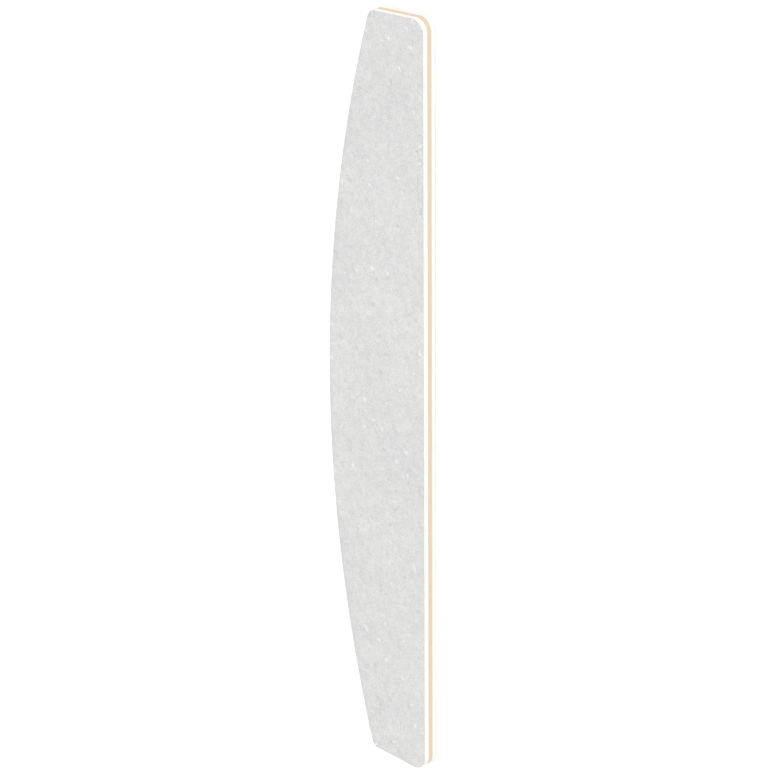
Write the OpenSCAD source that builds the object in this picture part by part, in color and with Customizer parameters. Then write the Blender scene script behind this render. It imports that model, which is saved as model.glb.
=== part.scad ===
// Cushioned half-moon nail file: a glued stack of sheets, all die-cut to one outline.
// It lies flat. X runs along the file, the straight edge faces -Y and the front abrasive faces +Z.
// The origin is at the middle of the rear face.

/* [Outline] */
// Overall length, along the straight edge
file_length = 178; // [150:1:200]
// Overall width, from the straight edge to the top of the arch
file_width = 28; // [24:0.5:34]
// Width that is left at each end, from the straight edge to the arch
end_width = 15.5; // [12:0.5:18]
// How far each end leans in towards the arch, in degrees off square
end_lean = 4.6; // [0:0.2:8]
// Corner radius where an end meets the straight edge
straight_corner_r = 3; // [1:0.5:5]
// Corner radius where an end meets the arch
arch_corner_r = 2; // [1:0.5:4]

/* [Layers] */
// Thickness of the plastic board in the middle
core_t = 1.2; // [0.6:0.1:2]
// Thickness of each foam cushion
foam_t = 1.03; // [0.8:0.01:3]
// Thickness of each adhesive film
adhesive_t = 0.05; // [0.03:0.01:0.1]
// Thickness of each abrasive sheet's backing paper
paper_t = 0.15; // [0.1:0.01:0.3]
// Thickness of the front grit coat, the coarser grade
front_grit_t = 0.14; // [0.08:0.01:0.3]
// Thickness of the rear grit coat, the finer grade
rear_grit_t = 0.1; // [0.05:0.01:0.3]

/* [Hidden] */

// Heights of the layers' lower faces, counted up from the rear face
rear_paper_z = rear_grit_t;
rear_paper_adhesive_z = rear_paper_z + paper_t;
rear_foam_z = rear_paper_adhesive_z + adhesive_t;
rear_core_adhesive_z = rear_foam_z + foam_t;
core_z = rear_core_adhesive_z + adhesive_t;
front_core_adhesive_z = core_z + core_t;
front_foam_z = front_core_adhesive_z + adhesive_t;
front_paper_adhesive_z = front_foam_z + foam_t;
front_paper_z = front_paper_adhesive_z + adhesive_t;
front_grit_z = front_paper_z + paper_t;

// Straight edge and top of the arch
edge_y = -file_width / 2;
arch_y = file_width / 2;

// Right-hand end line: its outward normal, and its direction up towards the arch
end_normal = [cos(end_lean), sin(end_lean)];
end_up = [-sin(end_lean), cos(end_lean)];

// Corner circle at the straight edge. The overall length is measured over it.
straight_corner = [file_length / 2 - straight_corner_r, edge_y + straight_corner_r];
// Where the end line would meet the straight edge, if the corner were sharp
sharp_x = straight_corner.x + straight_corner_r * (1 + end_normal.y) / end_normal.x;

// Arch: a circle through its own top and the two sharp end corners
arch_rise = file_width - end_width;
arch_half_chord = sharp_x - end_width * tan(end_lean);
arch_r = (arch_half_chord ^ 2 + arch_rise ^ 2) / (2 * arch_rise);
arch_centre = [0, arch_y - arch_r];

// Corner circle at the arch: it touches the end line and, from inside, the arch
inset_line = [sharp_x, edge_y] - arch_corner_r * end_normal;
from_centre = inset_line - arch_centre;
along = from_centre * end_up;
reach = arch_r - arch_corner_r;
arch_corner = inset_line + end_up * (sqrt(along ^ 2 - from_centre * from_centre + reach ^ 2) - along);
// Direction from the arch's centre through the corner circle, where the two arcs meet
meet_dir = (arch_corner - arch_centre) / reach;

// Points where the outline's straight lines and arcs meet, on the right-hand half
half_points = [
    [straight_corner.x, edge_y],
    straight_corner + straight_corner_r * end_normal,
    arch_corner + arch_corner_r * end_normal,
    arch_centre + arch_r * meet_dir,
    arch_centre + arch_r * 1.1 * meet_dir,
];

// The same point on the other half
function flip(p) = [-p.x, p.y];

// The right-hand points, then the left-hand ones in the opposite order
inner_points = concat(half_points, [for (i = [len(half_points) - 1:-1:0]) flip(half_points[i])]);

module corner(centre, r) {
    translate(centre) circle(r = r, $fn = 48);
}

// The die-cut outline that every layer shares
module outline() {
    intersection() {
        polygon(inner_points);
        translate(arch_centre) circle(r = arch_r, $fn = 720);
    }
    corner(straight_corner, straight_corner_r);
    corner(flip(straight_corner), straight_corner_r);
    corner(arch_corner, arch_corner_r);
    corner(flip(arch_corner), arch_corner_r);
}

// One sheet of the stack
module sheet(z, t) {
    translate([0, 0, z]) linear_extrude(height = t) outline();
}

module core_board() {
    color([0.93, 0.78, 0.62]) sheet(core_z, core_t);
}

module front_core_adhesive() {
    color([0.97, 0.95, 0.88]) sheet(front_core_adhesive_z, adhesive_t);
}

module front_foam_pad() {
    color([0.98, 0.97, 0.95]) sheet(front_foam_z, foam_t);
}

module front_paper_adhesive() {
    color([0.97, 0.95, 0.88]) sheet(front_paper_adhesive_z, adhesive_t);
}

module front_backing_paper() {
    color([0.96, 0.95, 0.92]) sheet(front_paper_z, paper_t);
}

module front_grit_coat() {
    color([0.87, 0.87, 0.87]) sheet(front_grit_z, front_grit_t);
}

module rear_core_adhesive() {
    color([0.97, 0.95, 0.88]) sheet(rear_core_adhesive_z, adhesive_t);
}

module rear_foam_pad() {
    color([0.98, 0.97, 0.95]) sheet(rear_foam_z, foam_t);
}

module rear_paper_adhesive() {
    color([0.97, 0.95, 0.88]) sheet(rear_paper_adhesive_z, adhesive_t);
}

module rear_backing_paper() {
    color([0.96, 0.95, 0.92]) sheet(rear_paper_z, paper_t);
}

module rear_grit_coat() {
    color([0.89, 0.89, 0.89]) sheet(0, rear_grit_t);
}

core_board();
front_core_adhesive();
front_foam_pad();
front_paper_adhesive();
front_backing_paper();
front_grit_coat();
rear_core_adhesive();
rear_foam_pad();
rear_paper_adhesive();
rear_backing_paper();
rear_grit_coat();
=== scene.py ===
"""Cushioned half-moon nail file: its glued layers, their finishes, and the studio it lies in."""

import math

import bpy
from mathutils import Matrix, Quaternion, Vector


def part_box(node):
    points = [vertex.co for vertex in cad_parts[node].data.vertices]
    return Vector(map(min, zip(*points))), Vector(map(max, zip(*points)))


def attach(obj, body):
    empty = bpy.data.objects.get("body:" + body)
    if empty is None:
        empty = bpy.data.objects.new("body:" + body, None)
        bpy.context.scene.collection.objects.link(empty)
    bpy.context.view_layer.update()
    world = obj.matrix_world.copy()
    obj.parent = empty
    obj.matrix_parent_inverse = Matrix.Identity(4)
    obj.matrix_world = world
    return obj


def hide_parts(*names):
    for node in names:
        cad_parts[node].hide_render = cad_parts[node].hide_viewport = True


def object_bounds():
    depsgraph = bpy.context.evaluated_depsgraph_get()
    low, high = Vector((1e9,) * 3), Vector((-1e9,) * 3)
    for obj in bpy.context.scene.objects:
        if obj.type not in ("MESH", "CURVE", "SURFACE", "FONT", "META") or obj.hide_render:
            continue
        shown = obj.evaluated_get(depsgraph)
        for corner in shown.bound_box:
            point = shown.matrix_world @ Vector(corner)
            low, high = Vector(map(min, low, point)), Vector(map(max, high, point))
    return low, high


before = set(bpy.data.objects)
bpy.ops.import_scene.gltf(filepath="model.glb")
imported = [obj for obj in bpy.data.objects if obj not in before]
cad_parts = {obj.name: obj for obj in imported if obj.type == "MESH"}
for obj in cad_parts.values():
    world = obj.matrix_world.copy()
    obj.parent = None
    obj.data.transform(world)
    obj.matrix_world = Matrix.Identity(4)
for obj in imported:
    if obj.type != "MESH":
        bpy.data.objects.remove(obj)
CAD_LOW, CAD_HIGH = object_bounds()
MM = 0.001

# ---------------------------------------------------------------- the die-cut outline

END_WIDTH = 15.5 * MM
END_LEAN = math.radians(4.6)
STRAIGHT_CORNER_R = 3 * MM
ARCH_CORNER_R = 2 * MM
HALF_LENGTH = CAD_HIGH.x
EDGE_Y, ARCH_Y = CAD_LOW.y, CAD_HIGH.y

# How many straight cuts stand for each arc, on one half of the outline
STRAIGHT_CORNER_CUTS = 11
ARCH_CORNER_CUTS = 9
ARCH_CUTS = 24

end_normal = Vector((math.cos(END_LEAN), math.sin(END_LEAN)))
end_up = Vector((-math.sin(END_LEAN), math.cos(END_LEAN)))
straight_corner = Vector((HALF_LENGTH - STRAIGHT_CORNER_R, EDGE_Y + STRAIGHT_CORNER_R))
# Where the end line would meet the straight edge, if the corner were sharp
sharp_x = straight_corner.x + STRAIGHT_CORNER_R * (1 + end_normal.y) / end_normal.x

# The arch: a circle through its own top and the two sharp end corners
arch_rise = ARCH_Y - EDGE_Y - END_WIDTH
arch_half_chord = sharp_x - END_WIDTH * math.tan(END_LEAN)
ARCH_R = (arch_half_chord**2 + arch_rise**2) / (2 * arch_rise)
arch_centre = Vector((0, ARCH_Y - ARCH_R))

# The corner circle at the arch: it touches the end line and, from inside, the arch
inset_line = Vector((sharp_x, EDGE_Y)) - ARCH_CORNER_R * end_normal
from_centre = inset_line - arch_centre
along = from_centre.dot(end_up)
reach = ARCH_R - ARCH_CORNER_R
arch_corner = inset_line + end_up * (math.sqrt(along**2 - from_centre.length_squared + reach**2) - along)
# The outward normal's angle from +X where that circle meets the arch
meet_turn = math.atan2(arch_corner.y - arch_centre.y, arch_corner.x - arch_centre.x)


def rim_point(turn):
    """The point on the outline's right half where its outward normal points at this angle from +X."""
    if turn <= END_LEAN:
        centre, radius = straight_corner, STRAIGHT_CORNER_R
    elif turn <= meet_turn:
        centre, radius = arch_corner, ARCH_CORNER_R
    else:
        centre, radius = arch_centre, ARCH_R
    return centre + radius * Vector((math.cos(turn), math.sin(turn)))


def spread(start, stop, count):
    """count angles evenly from start to stop, without start."""
    return [start + (stop - start) * (i + 1) / count for i in range(count)]


RIM_TURNS = [
    -math.pi / 2,
    *spread(-math.pi / 2, 0, STRAIGHT_CORNER_CUTS),
    END_LEAN,
    *spread(END_LEAN, meet_turn, ARCH_CORNER_CUTS),
    *spread(meet_turn, math.pi / 2, ARCH_CUTS),
]

# ---------------------------------------------------------------- modelling moves

CUT_TOLERANCE = 1e-4 * MM
# Two heights are the same within this
SAME_HEIGHT = 1e-4 * MM
# Two angles are the same within this, in radians
SAME_TURN = 1e-6
# A point this close to the outline is on the rim
RIM_BAND = 0.06 * MM
# A rim edge is halved while it is longer than this many steps
LONGEST_STEP = 1.4

# The die's pressure rolls both faces down towards the rim: how far, and from how far in
ROLL_DROP = 0.07 * MM
ROLL_REACH = 0.9 * MM
# Widths of the rings that let a pressed face bend, from the rim inwards
RINGS = [0.12 * MM, 0.18 * MM, 0.25 * MM, 0.3 * MM]


def deselect_all():
    if bpy.context.object and bpy.context.object.mode != "OBJECT":
        bpy.ops.object.mode_set(mode="OBJECT")
    bpy.ops.object.select_all(action="DESELECT")


def pick(piece, kind, wanted):
    """In edit mode, selects just the vertices, edges or faces for which wanted is true."""
    bpy.ops.mesh.select_mode(type=kind)
    bpy.ops.mesh.select_all(action="DESELECT")
    bpy.ops.object.mode_set(mode="OBJECT")
    mesh = piece.data
    items = {"VERT": mesh.vertices, "EDGE": mesh.edges, "FACE": mesh.polygons}[kind]
    for item in items:
        item.select = wanted(item)
    bpy.ops.object.mode_set(mode="EDIT")


def edge_ends(piece, edge):
    return [piece.data.vertices[i].co for i in edge.vertices]


def cut_to_outline(inset=0.0, fill=True):
    """Cuts the selected mesh down to the outline, with one straight cut after another round the rim."""
    for turn in RIM_TURNS:
        for side in (1, -1):
            if side < 0 and abs(abs(turn) - math.pi / 2) < SAME_TURN:
                continue
            normal = Vector((side * math.cos(turn), math.sin(turn), 0))
            x, y = rim_point(turn)
            place = Vector((side * x, y, 0)) - inset * normal
            bpy.ops.mesh.select_all(action="SELECT")
            bpy.ops.mesh.bisect(
                plane_co=place, plane_no=normal, clear_outer=True, use_fill=fill, threshold=CUT_TOLERANCE
            )


def is_level(piece, edge):
    a, b = edge_ends(piece, edge)
    return abs(a.z - b.z) < SAME_HEIGHT


def edge_length(piece, edge):
    a, b = edge_ends(piece, edge)
    return (a - b).length


def divide_rim(piece, step):
    """Splits the wall's long level edges in half until none is much longer than step."""
    longest = LONGEST_STEP * step
    while True:
        pick(piece, "EDGE", lambda e: is_level(piece, e) and edge_length(piece, e) > longest)
        bpy.ops.object.mode_set(mode="OBJECT")
        found = any(edge.select for edge in piece.data.edges)
        bpy.ops.object.mode_set(mode="EDIT")
        if not found:
            return
        bpy.ops.mesh.subdivide(number_cuts=1)


def divide_height(piece, rows):
    """Splits the wall's upright edges, which gives it this many rows of faces."""
    if rows > 1:
        pick(piece, "EDGE", lambda e: not is_level(piece, e))
        bpy.ops.mesh.subdivide(number_cuts=rows - 1)


def close_end(piece, height, insets):
    """Closes the open end of the wall at this height with a face, which insets then divide into rings."""
    pick(piece, "EDGE", lambda e: all(abs(c.z - height) < SAME_HEIGHT for c in edge_ends(piece, e)))
    bpy.ops.mesh.edge_face_add()
    for thickness in insets:
        bpy.ops.mesh.inset(thickness=thickness, depth=0)


def press_rim(piece, drop, height=None):
    """Presses the rim down, or up if drop is negative, fading inwards. height picks one of the two rims."""
    pick(piece, "VERT", lambda v: on_rim(v.co) and (height is None or abs(v.co.z - height) < SAME_HEIGHT))
    bpy.ops.transform.translate(
        value=(0, 0, -drop),
        use_proportional_edit=True,
        proportional_edit_falloff="SMOOTH",
        proportional_size=ROLL_REACH,
    )


def rim_depth(co):
    """How far inside the outline a point is."""
    x, y = abs(co.x), co.y
    depths = [y - EDGE_Y, -(Vector((x, y)) - Vector((sharp_x, EDGE_Y))).dot(end_normal)]
    depths.append(ARCH_R - (Vector((x, y)) - arch_centre).length)
    if x > straight_corner.x and y < straight_corner.y:
        depths.append(STRAIGHT_CORNER_R - (Vector((x, y)) - straight_corner).length)
    outwards = Vector((x, y)) - arch_corner
    if END_LEAN < math.atan2(outwards.y, outwards.x) < meet_turn:
        depths.append(ARCH_CORNER_R - outwards.length)
    return min(depths)


def on_rim(co):
    return rim_depth(co) < RIM_BAND


def group(piece, name, weight):
    """Gives the vertices a weight each, under this name."""
    bpy.ops.object.mode_set(mode="OBJECT")
    made = piece.vertex_groups.new(name=name)
    for vertex in piece.data.vertices:
        value = weight(vertex.co)
        if value > 0:
            made.add([vertex.index], min(value, 1), "REPLACE")


def pattern(name, kind, size, **settings):
    """One of Blender's own textures, for a Displace modifier to read."""
    made = bpy.data.textures.new(name, kind)
    made.noise_scale = size
    for key, value in settings.items():
        setattr(made, key, value)
    return made


def displace(piece, texture, strength, direction, weights, middle=0.0):
    """Moves the surface by a texture, and makes that part of the mesh."""
    bpy.ops.object.mode_set(mode="OBJECT")
    bpy.ops.object.modifier_add(type="DISPLACE")
    made = piece.modifiers[-1]
    made.texture, made.texture_coords = texture, "LOCAL"
    made.direction, made.strength, made.mid_level = direction, strength, middle
    made.vertex_group = weights
    bpy.ops.object.modifier_apply(modifier=made.name)


def rename(name):
    piece = bpy.context.object
    piece.name = name
    piece.data.name = name
    return piece


def settle(piece, angle=None):
    """Ends the work on a piece: shading, and its place put into its mesh."""
    bpy.ops.object.mode_set(mode="OBJECT")
    if angle is None:
        bpy.ops.object.shade_flat()
    else:
        bpy.ops.object.shade_smooth_by_angle(angle=math.radians(angle))
    bpy.ops.object.transform_apply(location=True, rotation=True, scale=True)


# ---------------------------------------------------------------- the layers

# Length and width of the blank that a sheet is cut from
BLANK_SIZE = (2.1 * HALF_LENGTH, 1.1 * (ARCH_Y - EDGE_Y))

# Rounding of the board's sheared edges
SHEAR_ROUNDING = 0.07 * MM

# Rows of faces up the foam's wall, and how far its middle row hollows
FOAM_ROWS = 7
FOAM_HOLLOW = 0.14 * MM
# The foam's open cells, which stop short of its glued faces
FOAM_CELL = 0.3 * MM
FOAM_CELL_DEPTH = 0.09 * MM
FOAM_SKIN = 0.05 * MM

# The ragged edge of the paper
FRAY_SIZE = 0.4 * MM
FRAY_DEPTH = 0.03 * MM
# The adhesive films stand back from the cut edge
TAPE_INSET = 0.04 * MM

# The grit's grid: its first step, and the cuts that then divide each side of its triangles
GRID_STEP = 0.9 * MM
GRID_DIVISIONS = 3
# Corners of the cut grid closer than this become one
WELD = 0.05 * MM
# The grit's slow unevenness, as a share of its grains' depth and in widths of a grain
UNEVEN_DEPTH = 0.4
UNEVEN_SIZE = 3


def stamped_sheet(name, node, step, rows, inset=0.0, lower_rings=(), upper_rings=()):
    """A die-cut sheet where the CAD node is: a blank, cut to the outline, with both faces made anew."""
    low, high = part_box(node)
    deselect_all()
    middle = (0, (EDGE_Y + ARCH_Y) / 2, (low.z + high.z) / 2)
    bpy.ops.mesh.primitive_cube_add(size=1, location=middle)
    piece = rename(name)
    bpy.ops.object.mode_set(mode="EDIT")
    bpy.ops.transform.resize(value=(*BLANK_SIZE, high.z - low.z))
    bpy.ops.object.mode_set(mode="OBJECT")
    bpy.ops.object.transform_apply(location=True, rotation=True, scale=True)
    bpy.ops.object.mode_set(mode="EDIT")
    cut_to_outline(inset)
    pick(piece, "FACE", lambda f: abs(f.normal.z) > 0.5)
    bpy.ops.mesh.delete(type="ONLY_FACE")
    divide_rim(piece, step)
    divide_height(piece, rows)
    close_end(piece, low.z, lower_rings)
    close_end(piece, high.z, upper_rings)
    bpy.ops.mesh.select_all(action="SELECT")
    bpy.ops.mesh.normals_make_consistent(inside=False)
    return piece


def core_board():
    """The stiff board: the die shears it, so its edges are a little rounded."""
    low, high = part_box("core_board")
    piece = stamped_sheet("stiff_core", "core_board", step=0.7 * MM, rows=3)
    pick(piece, "EDGE", lambda e: all(c.z in (low.z, high.z) and on_rim(c) for c in edge_ends(piece, e)))
    bpy.ops.mesh.bevel(offset=SHEAR_ROUNDING, segments=3)
    settle(piece, angle=40)
    return piece


def foam_pad(name, node, up):
    """A foam cushion: the die squeezes it, so its wall hollows, and cuts its cells open."""
    low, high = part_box(node)
    outer = high.z if up > 0 else low.z
    rings = {"upper_rings" if up > 0 else "lower_rings": RINGS}
    piece = stamped_sheet(name, node, step=0.2 * MM, rows=FOAM_ROWS, **rings)
    row_height = (high.z - low.z) / FOAM_ROWS
    for row in range(1, FOAM_ROWS):
        z = low.z + row * row_height
        pick(piece, "VERT", lambda v: abs(v.co.z - z) < 0.1 * row_height)
        bpy.ops.transform.shrink_fatten(value=-FOAM_HOLLOW * math.sin(math.pi * row / FOAM_ROWS))
    group(piece, "wall", lambda c: float(low.z + FOAM_SKIN < c.z < high.z - FOAM_SKIN))
    cells = pattern(name + "_cells", "VORONOI", FOAM_CELL, distance_metric="DISTANCE_SQUARED")
    displace(piece, cells, FOAM_CELL_DEPTH, "NORMAL", "wall", middle=1.0)
    bpy.ops.object.mode_set(mode="EDIT")
    press_rim(piece, up * ROLL_DROP, outer)
    settle(piece, angle=60)
    return piece


def thin_sheet(name, node, up, step, inset=0.0, frayed=0.0):
    """Backing paper or adhesive tape. up says which way the pressed side faces, and 0 is a flat one."""
    rings = dict(lower_rings=RINGS, upper_rings=RINGS) if up else {}
    piece = stamped_sheet(name, node, step, rows=2, inset=inset, **rings)
    if frayed:
        group(piece, "wall", lambda c: float(on_rim(c)))
        fray = pattern(name + "_fray", "CLOUDS", FRAY_SIZE)
        displace(piece, fray, frayed, "NORMAL", "wall", middle=1.0)
        bpy.ops.object.mode_set(mode="EDIT")
    if up:
        press_rim(piece, up * ROLL_DROP)
    settle(piece, angle=30)
    return piece


def grit_coat(name, node, up, depth, grain):
    """Bonded grain: a grid, cut to the outline and divided again, whose surface is broken into grains."""
    low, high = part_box(node)
    outer, inner = (high.z, low.z) if up > 0 else (low.z, high.z)
    columns = round(2 * HALF_LENGTH / GRID_STEP) + 1
    rows = round((ARCH_Y - EDGE_Y) / GRID_STEP) + 1
    deselect_all()
    bpy.ops.mesh.primitive_grid_add(
        x_subdivisions=columns,
        y_subdivisions=rows,
        size=1,
        location=(0, (EDGE_Y + ARCH_Y) / 2, outer),
    )
    piece = rename(name)
    bpy.ops.object.mode_set(mode="EDIT")
    bpy.ops.transform.resize(value=(columns * GRID_STEP, rows * GRID_STEP, 1))
    bpy.ops.object.mode_set(mode="OBJECT")
    bpy.ops.object.transform_apply(location=True, rotation=True, scale=True)
    bpy.ops.object.mode_set(mode="EDIT")
    cut_to_outline(fill=False)
    bpy.ops.mesh.select_all(action="SELECT")
    bpy.ops.mesh.remove_doubles(threshold=WELD)
    bpy.ops.mesh.region_to_loop()
    bpy.ops.mesh.extrude_edges_move(TRANSFORM_OT_translate={"value": (0, 0, inner - outer)})
    close_end(piece, inner, RINGS)
    bpy.ops.mesh.select_all(action="SELECT")
    bpy.ops.mesh.normals_make_consistent(inside=False)
    pick(piece, "FACE", lambda f: abs(f.center.z - outer) < SAME_HEIGHT)
    bpy.ops.mesh.quads_convert_to_tris()
    bpy.ops.mesh.subdivide(number_cuts=GRID_DIVISIONS)
    group(piece, "grains", lambda c: float(abs(c.z - outer) < SAME_HEIGHT))
    grains = pattern(name + "_grains", "VORONOI", grain, distance_metric="DISTANCE_SQUARED")
    displace(piece, grains, -up * depth, "Z", "grains")
    uneven = pattern(name + "_uneven", "CLOUDS", UNEVEN_SIZE * grain)
    displace(piece, uneven, -up * UNEVEN_DEPTH * depth, "Z", "grains")
    bpy.ops.object.mode_set(mode="EDIT")
    press_rim(piece, up * ROLL_DROP)
    settle(piece)
    return piece


# ---------------------------------------------------------------- finishes


class Shade:
    """One output socket. Sums and products of these add the Math nodes that work them out."""

    def __init__(self, paint, socket):
        self.paint, self.socket = paint, socket

    def maths(self, operation, *values):
        return self.paint.node("ShaderNodeMath", {"operation": operation}, dict(enumerate(values)))

    def __add__(self, other):
        return self.maths("ADD", self, other)

    def __sub__(self, other):
        return self.maths("SUBTRACT", self, other)

    def __rsub__(self, other):
        return self.maths("SUBTRACT", other, self)

    def __mul__(self, other):
        return self.maths("MULTIPLY", self, other)

    def __lt__(self, other):
        return self.maths("LESS_THAN", self, other)

    def __gt__(self, other):
        return self.maths("GREATER_THAN", self, other)

    def __abs__(self):
        return self.maths("ABSOLUTE", self)

    def capped(self, most):
        return self.maths("MINIMUM", self, most)

    __radd__ = __add__
    __rmul__ = __mul__


# A Mix node has a set of sockets for each kind of value: these are its sockets for colours
MIX_FACTOR, MIX_A, MIX_B, MIX_RESULT = 0, 6, 7, 2
# On the cut edge the square of the normal's upward part is below this
UPRIGHT_LIMIT = 0.002


class Paint:
    """A material under construction."""

    def __init__(self, name):
        self.material = bpy.data.materials.new(name)
        self.material.use_nodes = True
        self.tree = self.material.node_tree
        self.shader = self.tree.nodes["Principled BSDF"]

    def node(self, kind, settings=None, inputs=None, output=0):
        """Adds a node: its settings first, then its inputs, each a plain value or a Shade."""
        made = self.tree.nodes.new(kind)
        for key, value in (settings or {}).items():
            setattr(made, key, value)
        self.fill(made, inputs or {})
        return Shade(self, made.outputs[output])

    def fill(self, node, inputs):
        """Links each Shade to the node's socket of that name or number, and sets the plain values."""
        for key, value in inputs.items():
            if isinstance(value, Shade):
                self.tree.links.new(value.socket, node.inputs[key])
            else:
                node.inputs[key].default_value = value

    def place(self):
        return self.node("ShaderNodeTexCoord", output="Object")

    def stretched(self, per_metre):
        """The place, with this many of a pattern's cells to the metre along X, Y and Z."""
        return self.node("ShaderNodeMapping", inputs={"Vector": self.place(), "Scale": per_metre})

    def noise(self, size, detail=2.0, roughness=0.5, place=None):
        inputs = {"Vector": place or self.place(), "Scale": 1 / size}
        inputs.update(Detail=detail, Roughness=roughness)
        return self.node("ShaderNodeTexNoise", inputs=inputs)

    def warped(self, size, amount):
        """The place, pushed about by a noise, so that cells laid over it come out irregular."""
        noise_inputs = {"Vector": self.place(), "Scale": 1 / size}
        push = self.node("ShaderNodeTexNoise", inputs=noise_inputs, output="Color")
        settings = {"operation": "MULTIPLY_ADD"}
        return self.node("ShaderNodeVectorMath", settings, {0: push, 1: (amount,) * 3, 2: self.place()})

    def cells(self, size, output, feature="F1", place=None):
        inputs = {"Vector": place or self.place(), "Scale": 1 / size}
        return self.node("ShaderNodeTexVoronoi", {"feature": feature}, inputs, output)

    def chance(self, size, place=None):
        """A random number for each cell."""
        colour = self.cells(size, "Color", place=place)
        return self.node("ShaderNodeSeparateColor", inputs={0: colour}, output="Red")

    def upright(self):
        """1 on the cut edge, where the surface stands nearly upright, and 0 elsewhere."""
        normal = self.node("ShaderNodeNewGeometry", output="Normal")
        lean = self.node("ShaderNodeSeparateXYZ", inputs={0: normal}, output="Z")
        return lean * lean < UPRIGHT_LIMIT

    def sunk(self, reach):
        """0 at the file's outermost faces, rising to 1 this far below them."""
        middle = (CAD_LOW.z + CAD_HIGH.z) / 2
        height = self.node("ShaderNodeSeparateXYZ", inputs={0: self.place()}, output="Z")
        return (CAD_HIGH.z - middle - abs(height - middle)) * (1 / reach)

    def between(self, factor, low, high):
        """The colour or Shade low where factor is 0, and high where it is 1."""
        settings = {"data_type": "RGBA", "clamp_factor": True}
        inputs = {MIX_FACTOR: factor, MIX_A: low, MIX_B: high}
        return self.node("ShaderNodeMix", settings, inputs, MIX_RESULT)

    def bump(self, height, distance, strength):
        inputs = {"Height": height, "Distance": distance, "Strength": strength}
        return self.node("ShaderNodeBump", inputs=inputs)

    def finish(self, **sockets):
        self.fill(self.shader, {key.replace("_", " "): value for key, value in sockets.items()})
        return self.material


def grey(value, warmth=0.0):
    return (value * (1 + warmth), value, value * (1 - warmth), 1)


# Distances from a grain's edge, in widths of a grain: where its own colour starts, and where the painted
# shade in the gap between grains ends
GRAIN_START = 0.07
GAP_SHADE_END = 0.16
# Shares of the grains that are bright, and of the clumps that get a painted highlight or a painted shade
BRIGHT_SHARE = 0.1
HIGHLIT_CLUMPS = 0.01
SHADED_CLUMPS = 0.012
# Width of a clump, in widths of a grain
CLUMP_SIZE = 4


def grit_finish(name, grain, tone, dark_share):
    """Mineral grains under a pale anti-clog coat: mostly light, with a few dark grains, painted shade in
    the gaps and hollows, and a few clumps given a painted highlight or a painted shade.
    """
    paint = Paint(name)
    place = paint.warped(2 * grain, 0.8 * grain)
    to_gap = paint.cells(grain, "Distance", "DISTANCE_TO_EDGE", place)
    luck = paint.chance(grain, place)
    blotches = paint.noise(1.7 * MM, detail=3.0, roughness=0.6)
    clouds = paint.noise(14 * MM)
    inside = to_gap > GRAIN_START
    dark = (luck < dark_share) * inside
    bright = (luck > 1 - BRIGHT_SHARE) * inside
    clump = paint.chance(CLUMP_SIZE * grain, place)
    # A few clumps get a painted shade, and a few others a painted highlight
    painted_shade_clump = clump < SHADED_CLUMPS
    painted_highlight_clump = clump > 1 - HIGHLIT_CLUMPS
    level = 0.5 + (luck - 0.5) * 0.25 + (blotches - 0.5) * 1.7 + (clouds - 0.5) * 0.7
    base = paint.between(level, grey(tone * 0.87), grey(tone * 1.1, warmth=0.006))
    # Painted shade: darker the lower the surface lies below the outermost face, in the hollows between
    # grains and on the pressed-down rim
    painted_hollow_shade = paint.between(paint.sunk(0.2 * MM) * 0.3, base, grey(tone * 0.6))
    # Painted shade in the gaps between the grains, darkest at each grain's edge
    gap_shaded = paint.between((GAP_SHADE_END - to_gap) * 3, painted_hollow_shade, grey(tone * 0.72))
    # Dark grains, and painted shade on a few clumps
    speckled_and_shaded = paint.between(dark * 0.33 + painted_shade_clump * 0.2, gap_shaded, grey(tone * 0.5))
    # Bright grains, and painted highlights on a few clumps
    grains = paint.between(bright * 0.33 + painted_highlight_clump * 0.35, speckled_and_shaded, grey(tone * 1.3))
    colour = paint.between(paint.upright(), grains, grey(0.88, warmth=0.01))
    domed = (to_gap * 5).capped(1.0)
    height = domed * 0.6 + luck * 0.4 + paint.noise(0.06 * MM) * 0.3
    return paint.finish(
        Base_Color=colour,
        Roughness=0.75 - bright * 0.25,
        Normal=paint.bump(height, distance=0.06 * MM, strength=0.6),
        Specular_IOR_Level=0.35,
    )


def foam_finish():
    paint = Paint("white_foam")
    # deep is painted shade in the pores: the colour darkens where the bump's surface sinks
    pale, deep = (0.91, 0.895, 0.865, 1), (0.79, 0.775, 0.74, 1)
    pore_depth_and_shade = paint.cells(0.22 * MM, "Distance")
    fine = paint.noise(0.12 * MM, detail=3.0)
    colour = paint.between(pore_depth_and_shade * 0.7 + fine * 0.3, pale, deep)
    return paint.finish(
        Base_Color=colour,
        Roughness=0.9 - fine * 0.1,
        Normal=paint.bump(1 - pore_depth_and_shade, distance=0.06 * MM, strength=0.7),
        Subsurface_Weight=0.15,
        Subsurface_Radius=(0.6, 0.55, 0.5),
        Subsurface_Scale=0.4 * MM,
    )


def core_finish():
    paint = Paint("apricot_core")
    deep, pale = (0.645, 0.507, 0.36, 1), (0.71, 0.572, 0.425, 1)
    drag = paint.noise(1.0, detail=3.0, roughness=0.6, place=paint.stretched((600, 600, 16000)))
    mottle = paint.noise(2.5 * MM)
    colour = paint.between(drag * 0.5 + mottle * 0.5, deep, pale)
    return paint.finish(
        Base_Color=colour,
        Roughness=0.42 + drag * 0.2,
        Normal=paint.bump(drag, distance=0.02 * MM, strength=0.6),
        Subsurface_Weight=0.1,
        Subsurface_Radius=(1.0, 0.6, 0.4),
        Subsurface_Scale=0.5 * MM,
    )


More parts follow.
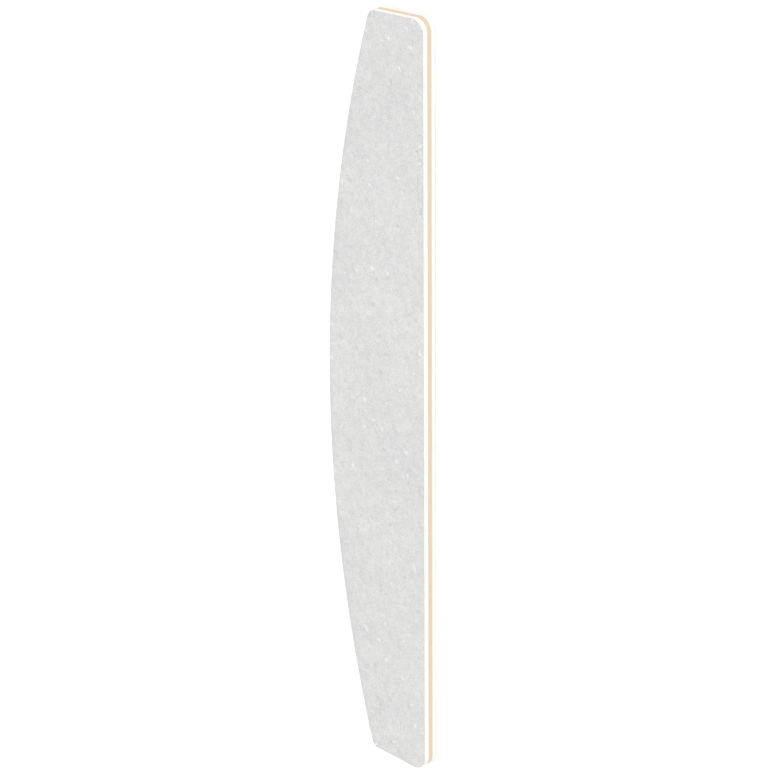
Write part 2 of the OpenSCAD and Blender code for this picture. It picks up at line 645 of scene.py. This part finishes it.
def paper_finish():
    paint = Paint("backing_paper")
    deep, pale = (0.84, 0.82, 0.76, 1), (0.92, 0.905, 0.87, 1)
    fibres = paint.noise(1.0, detail=4.0, roughness=0.65, place=paint.stretched((2500, 2500, 20000)))
    blotch = paint.noise(3 * MM)
    colour = paint.between(fibres * 0.6 + blotch * 0.4, deep, pale)
    return paint.finish(
        Base_Color=colour,
        Roughness=0.85 + fibres * 0.1,
        Normal=paint.bump(fibres, distance=0.03 * MM, strength=0.7),
    )


def tape_finish():
    paint = Paint("adhesive_film")
    deep, pale = (0.8, 0.76, 0.64, 1), (0.9, 0.87, 0.78, 1)
    streaks = paint.noise(1.0, place=paint.stretched((900, 900, 9000)))
    colour = paint.between(streaks, deep, pale)
    return paint.finish(
        Base_Color=colour,
        Roughness=0.25 + streaks * 0.2,
        Normal=paint.bump(streaks, distance=0.01 * MM, strength=0.5),
        Coat_Weight=0.3,
    )


def wear(piece, material, node):
    """Gives a finished piece its material, puts it on the root body, and hides the CAD node it stands for.
    """
    piece.data.materials.clear()
    piece.data.materials.append(material)
    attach(piece, "root")
    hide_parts(node)
    return piece


# ---------------------------------------------------------------- the file

foam = foam_finish()
paper = paper_finish()
tape = tape_finish()

wear(core_board(), core_finish(), "core_board")
for side, up in (("front", 1), ("rear", -1)):
    core_tape = thin_sheet(f"{side}_core_tape", f"{side}_core_adhesive", 0, step=2 * MM, inset=TAPE_INSET)
    wear(core_tape, tape, f"{side}_core_adhesive")
    pad = wear(foam_pad(f"{side}_cushion", f"{side}_foam_pad", up), foam, f"{side}_foam_pad")
    paper_tape = thin_sheet(f"{side}_paper_tape", f"{side}_paper_adhesive", up, step=MM, inset=TAPE_INSET)
    wear(paper_tape, tape, f"{side}_paper_adhesive")
    sheet = thin_sheet(f"{side}_paper", f"{side}_backing_paper", up, step=0.35 * MM, frayed=FRAY_DEPTH)
    wear(sheet, paper, f"{side}_backing_paper")

coarse = grit_coat("coarse_grit", "front_grit_coat", 1, depth=0.06 * MM, grain=0.4 * MM)
coarse_finish = grit_finish("coarse_grit", grain=0.2 * MM, tone=0.672, dark_share=0.1)
wear(coarse, coarse_finish, "front_grit_coat")
fine = grit_coat("fine_grit", "rear_grit_coat", -1, depth=0.05 * MM, grain=0.3 * MM)
fine_finish = grit_finish("fine_grit", grain=0.13 * MM, tone=0.69, dark_share=0.06)
wear(fine, fine_finish, "rear_grit_coat")

# ---------------------------------------------------------------- studio and camera

# Half the floor's width, in metres, which fills a low view too
FLOOR_HALF = 40.0


def add_floor():
    deselect_all()
    bpy.ops.mesh.primitive_plane_add(size=2 * FLOOR_HALF, location=(0, 0, CAD_LOW.z))
    floor = rename("studio_floor")
    paint = Paint("pale_floor")
    floor.data.materials.append(paint.finish(Base_Color=grey(0.97), Roughness=0.9))


def add_softbox(name, azimuth, elevation, distance, size, power):
    """A square area light that looks at the file from this direction. Azimuth 0 is on the -Y side."""
    a, e = math.radians(azimuth), math.radians(elevation)
    back = Vector((math.sin(a) * math.cos(e), -math.cos(a) * math.cos(e), math.sin(e)))
    bpy.ops.object.light_add(type="AREA", location=back * distance)
    lamp = bpy.context.object
    lamp.name = name
    lamp.rotation_euler = back.to_track_quat("Z", "Y").to_euler()
    lamp.data.shape, lamp.data.size, lamp.data.energy = "SQUARE", size, power
    lamp.visible_camera = False


def add_world(strength):
    world = bpy.data.worlds.new("studio")
    bpy.context.scene.world = world
    world.use_nodes = True
    world.node_tree.nodes["Background"].inputs["Strength"].default_value = strength
    world.node_tree.nodes["Background"].inputs["Color"].default_value = (1, 1, 1, 1)


CAMERA_YAW = math.radians(42.83)
CAMERA_TILT = math.radians(24.33)
CAMERA_ROLL = math.radians(-0.32)
CAMERA_DISTANCE = 1.2
# Width of the picture at the front face
VIEW_WIDTH = 167.3 * MM
# Where the camera aims, counted from the middle of the front face
AIM_RIGHT = 1.71 * MM
AIM_UP = 1.4 * MM
SENSOR_WIDTH = 36


def add_camera():
    """Looks down on the front face from the straight edge's side, with the file upright in the picture."""
    back = Vector(
        (
            math.sin(CAMERA_TILT),
            -math.cos(CAMERA_TILT) * math.sin(CAMERA_YAW),
            math.cos(CAMERA_TILT) * math.cos(CAMERA_YAW),
        )
    )
    up = (Vector((1, 0, 0)) - back * back.x).normalized()
    up.rotate(Quaternion(back, CAMERA_ROLL))
    right = up.cross(back)
    aim = Vector((0, 0, CAD_HIGH.z)) + AIM_RIGHT * right + AIM_UP * up
    bpy.ops.object.camera_add(location=aim + back * CAMERA_DISTANCE)
    camera = bpy.context.object
    turn = Matrix((right, up, back)).transposed()
    camera.rotation_euler = turn.to_euler()
    camera.data.sensor_width = SENSOR_WIDTH
    camera.data.lens = SENSOR_WIDTH * CAMERA_DISTANCE / VIEW_WIDTH
    camera.data.clip_start, camera.data.clip_end = 0.05, 20
    bpy.context.scene.camera = camera


deselect_all()
add_floor()
add_world(strength=0.9)
add_softbox("key_softbox", azimuth=38, elevation=55, distance=3, size=1.9, power=43)
add_camera()
bpy.context.scene.view_settings.view_transform = "Standard"
